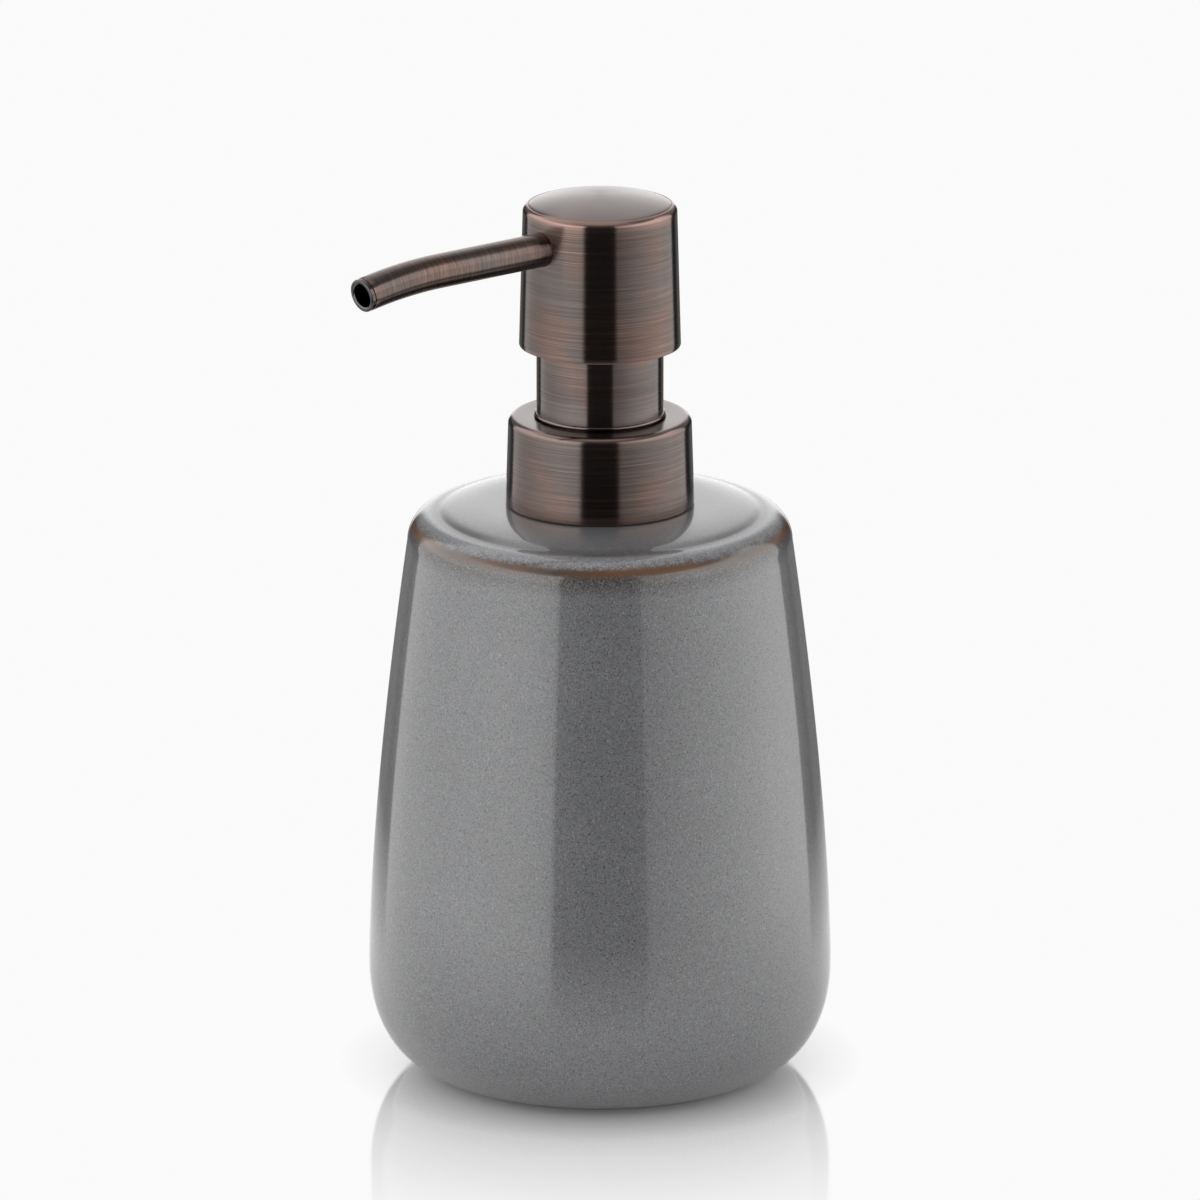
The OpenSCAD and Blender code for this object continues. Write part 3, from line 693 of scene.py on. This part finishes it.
def makeSpout():
    s = spout
    end = spoutEnd() - s["root"]
    inner = s["radius"] - s["wall"]
    outline = [(s["radius"], 0.0)]
    steps = s["steps"]
    for i in range(1, steps):
        outline.append((s["radius"], (end - 0.25) * i / steps))
    outline += [(s["radius"], end - 0.22), (s["radius"] - 0.06, end - 0.06), (s["radius"] - 0.2, end),
                (inner + 0.05, end), (inner, end - 0.05)]
    for i in range(1, steps):
        outline.append((inner, (end - 0.1) * (1 - i / steps)))
    outline += [(inner, 0.0)]
    bm = spinOutline(outline, s["turns"], closed=True)
    # worn at the tip and where the tube goes into the head; the copper there also paints the highlights
    layer = bm.verts.layers.float.new("wearAndHighlight")
    bm.verts.layers.float.new("level")
    for v in bm.verts:
        z = v.co.z / mm
        tip = math.exp(-((z - end) / 0.3) ** 2)
        joint = math.exp(-((z + s["root"] - head["radius"]) / 0.4) ** 2)
        v[layer] = 0.35 * tip + 0.6 * joint
    bendAlongSpout(bm, s["root"])
    makePiece("spoutTube", bm, "head", [spoutBronze], "spout_tube")


def makeNozzleMetal():
    material, n = newMaterial("nozzleMetal")
    grain = n.add("ShaderNodeTexNoise", {"Vector": objectPoint(n, (900, 900, 900)), "Scale": 1.0,
                                         "Detail": 3.0})
    turned = n.add("ShaderNodeTexNoise", {"Vector": objectPoint(n, (250, 5200, 250)), "Scale": 1.0,
                                          "Detail": 3.0})
    shade = n.math("ADD", n.math("MULTIPLY", grain.outputs["Fac"], 0.4),
                   n.math("MULTIPLY", turned.outputs["Fac"], 0.6))
    color = n.ramp(shade, [(0.35, (0.07, 0.065, 0.065)), (0.65, (0.16, 0.15, 0.148))])
    bump = n.add("ShaderNodeBump", {"Height": shade, "Strength": 0.03, "Distance": 0.0001})
    surface = n.add("ShaderNodeBsdfPrincipled", {
        "Base Color": color, "Metallic": 1.0, "Normal": bump.outputs[0],
        "Roughness": n.math("ADD", 0.06, n.math("MULTIPLY", shade, 0.1))})
    n.add("ShaderNodeOutputMaterial", {"Surface": surface.outputs[0]})
    return material


def makeNozzle():
    p = nozzle
    end = spoutEnd()
    mouth = p["hole"] + p["flare"]
    outline = [(p["spigot"], -p["depth"]), (p["spigot"], p["gap"]), (p["rim"] - 0.12, p["gap"]),
               (p["rim"], p["gap"] + 0.12)]
    outline += arc(p["rim"] - p["round"], p["lip"] - p["round"], p["round"], 0, 90, 6)
    outline += arc(mouth + 0.08, p["lip"] - 0.08, 0.08, 90, 150, 3)
    outline += [(p["hole"], p["lip"] - p["flare"]), (p["hole"], -p["depth"])]
    bm = spinOutline(outline, p["turns"], closed=True)
    tip = onSpout(end, 0, 0)
    # a point just behind the tip gives its direction
    forward = (tip - onSpout(end - 0.01, 0, 0)).normalized()
    turn = forward.to_track_quat("Z", "Y").to_matrix().to_4x4()
    bmesh.ops.transform(bm, matrix=Matrix.Translation(tip) @ turn, verts=bm.verts)
    makePiece("spoutNozzle", bm, "head", [makeNozzleMetal()], "spout_nozzle")


def makeHead():
    low, high = (corner.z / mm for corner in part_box("head_shell"))
    h = head
    edge = high - h["dome"]
    edgeR = h["radius"] - h["taper"]
    domeR = edgeR - h["domeInset"]
    outline = [(h["bore"] + 0.8, low), (h["radius"] - 0.2, low), (h["radius"] - 0.05, low + 0.06),
               (h["radius"], low + 0.2)]
    for i in range(1, h["steps"]):
        t = i / h["steps"]
        outline.append((h["radius"] - h["taper"] * t, low + (edge - h["fillet"] - low) * t))
    outline += arc(edgeR - h["fillet"], edge - h["fillet"], h["fillet"], 0, 78, 10)
    # a fine crease between the fillet and the dome
    outline += [(domeR + 0.12, edge - 0.06), (domeR + 0.02, edge - 0.14), (domeR - 0.12, edge - 0.03)]
    for i in range(1, h["domeRings"] + 1):
        u = 1 - i / h["domeRings"]
        outline.append((domeR * u, high - (h["dome"] + 0.02) * u * u))
    roof = edge - h["roof"]
    outline += [(0, roof), (h["bore"], roof), (h["bore"], low + 1.5)]
    bm = spinOutline(outline, h["turns"])
    # closes the rim underneath
    loops = [e for e in bm.edges if e.is_boundary]
    bmesh.ops.bridge_loops(bm, edges=loops)
    drill = spinOutline([(0, 0), (h["spoutHole"], 0), (h["spoutHole"], 8.0), (0, 8.0)], spout["turns"])
    bendAlongSpout(drill, h["bore"] - 4)   # the drill starts inside the bore
    bm = cutHole(bm, drill)
    # worn rim, fillet and crease, which also carry painted highlights
    paintWearAndHighlights(bm, [(h["radius"], low, 0.28, 0.6), (edgeR - 0.4, edge - 0.4, 1.0, 0.70),
                   (domeR, edge, 0.5, 0.40)])
    makePiece("headShell", bm, "head", [turnedBronze], "head_shell")


makeCollar()
makeSleeve()
makeHead()
makeSpout()
makeNozzle()
print("stage: collar, sleeve, head, spout and nozzle")

# finishes of the pieces kept from the CAD model

plastics = {
    # pale color, dark color, roughness, grain per metre, bump, share of light let through
    "neckPlastic": ((0.74, 0.74, 0.72), (0.66, 0.66, 0.64), 0.42, 700, 0.10, 0.0),
    "capPlastic": ((0.030, 0.028, 0.027), (0.050, 0.046, 0.044), 0.38, 900, 0.12, 0.0),
    "pumpPlastic": ((0.80, 0.81, 0.80), (0.70, 0.72, 0.72), 0.30, 500, 0.06, 0.25),
    "sealPlastic": ((0.86, 0.86, 0.84), (0.78, 0.78, 0.75), 0.35, 800, 0.06, 0.0),
    "gasketRubber": ((0.55, 0.55, 0.53), (0.42, 0.42, 0.41), 0.65, 1600, 0.20, 0.0),
    "tubePlastic": ((0.84, 0.86, 0.87), (0.76, 0.79, 0.81), 0.22, 400, 0.05, 0.45),
}


def makePlastic(name):
    material, n = newMaterial(name)
    light, dark, rough, grain, relief, through = plastics[name]
    place = n.add("ShaderNodeTexCoord").outputs["Object"]
    fine = n.add("ShaderNodeTexNoise", {"Vector": place, "Scale": grain, "Detail": 4.0}).outputs["Fac"]
    flow = n.add("ShaderNodeTexNoise", {"Vector": place, "Scale": 60.0, "Detail": 2.0}).outputs["Fac"]
    shade = n.math("ADD", n.math("MULTIPLY", fine, 0.4), n.math("MULTIPLY", flow, 0.6))
    color = n.ramp(shade, [(0.35, dark), (0.65, light)])
    bump = n.add("ShaderNodeBump", {"Height": fine, "Strength": relief, "Distance": 0.0001})
    surface = n.add("ShaderNodeBsdfPrincipled", {
        "Base Color": color, "Roughness": n.math("ADD", rough - 0.05, n.math("MULTIPLY", fine, 0.1)),
        "Transmission Weight": through, "Normal": bump.outputs[0]})
    n.add("ShaderNodeOutputMaterial", {"Surface": surface.outputs[0]})
    return material


def makeSpringSteel():
    material, n = newMaterial("springSteel")
    drawn = n.add("ShaderNodeTexNoise", {"Vector": objectPoint(n, (300, 300, 1800)), "Scale": 1.0,
                                         "Detail": 4.0})
    color = n.ramp(drawn.outputs["Fac"], [(0.35, (0.42, 0.42, 0.43)), (0.65, (0.62, 0.62, 0.63))])
    rough = n.ramp(drawn.outputs["Fac"], [(0.3, 0.22), (0.7, 0.36)])
    surface = n.add("ShaderNodeBsdfPrincipled", {"Base Color": color, "Metallic": 1.0, "Roughness": rough})
    n.add("ShaderNodeOutputMaterial", {"Surface": surface.outputs[0]})
    return material


def makeBallGlass():
    material, n = newMaterial("ballGlass")
    haze = n.add("ShaderNodeTexNoise", {"Vector": objectPoint(n, (1, 1, 1)), "Scale": 900.0, "Detail": 3.0})
    color = n.ramp(haze.outputs["Fac"], [(0.35, (0.86, 0.92, 0.90)), (0.65, (0.94, 0.97, 0.96))])
    rough = n.ramp(haze.outputs["Fac"], [(0.3, 0.03), (0.7, 0.09)])
    surface = n.add("ShaderNodeBsdfPrincipled", {"Base Color": color, "Roughness": rough, "IOR": 1.52,
                                                 "Transmission Weight": 0.9})
    n.add("ShaderNodeOutputMaterial", {"Surface": surface.outputs[0]})
    return material


keptFinishes = {
    "neckPlastic": ["neck_insert"],
    "capPlastic": ["closure_cap", "actuator_core", "lock_ring", "spout_liner"],
    "pumpPlastic": ["pump_cylinder", "ball_cage", "piston_stem", "stem_plug"],
    "sealPlastic": ["piston_seal"],
    "gasketRubber": ["gasket"],
    "tubePlastic": ["dip_tube"],
}


def dress(node, material):
    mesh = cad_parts[node].data
    mesh.materials.clear()
    mesh.materials.append(material)


for finish, nodes in keptFinishes.items():
    material = makePlastic(finish)
    for node in nodes:
        dress(node, material)
dress("return_spring", makeSpringSteel())
ballGlass = makeBallGlass()
dress("inlet_ball", ballGlass)
dress("outlet_ball", ballGlass)
print("stage: finishes of the inner pieces")

# boxes of what was made, as plain lists


def plain(box):
    return [[float(v) for v in corner] for corner in box]
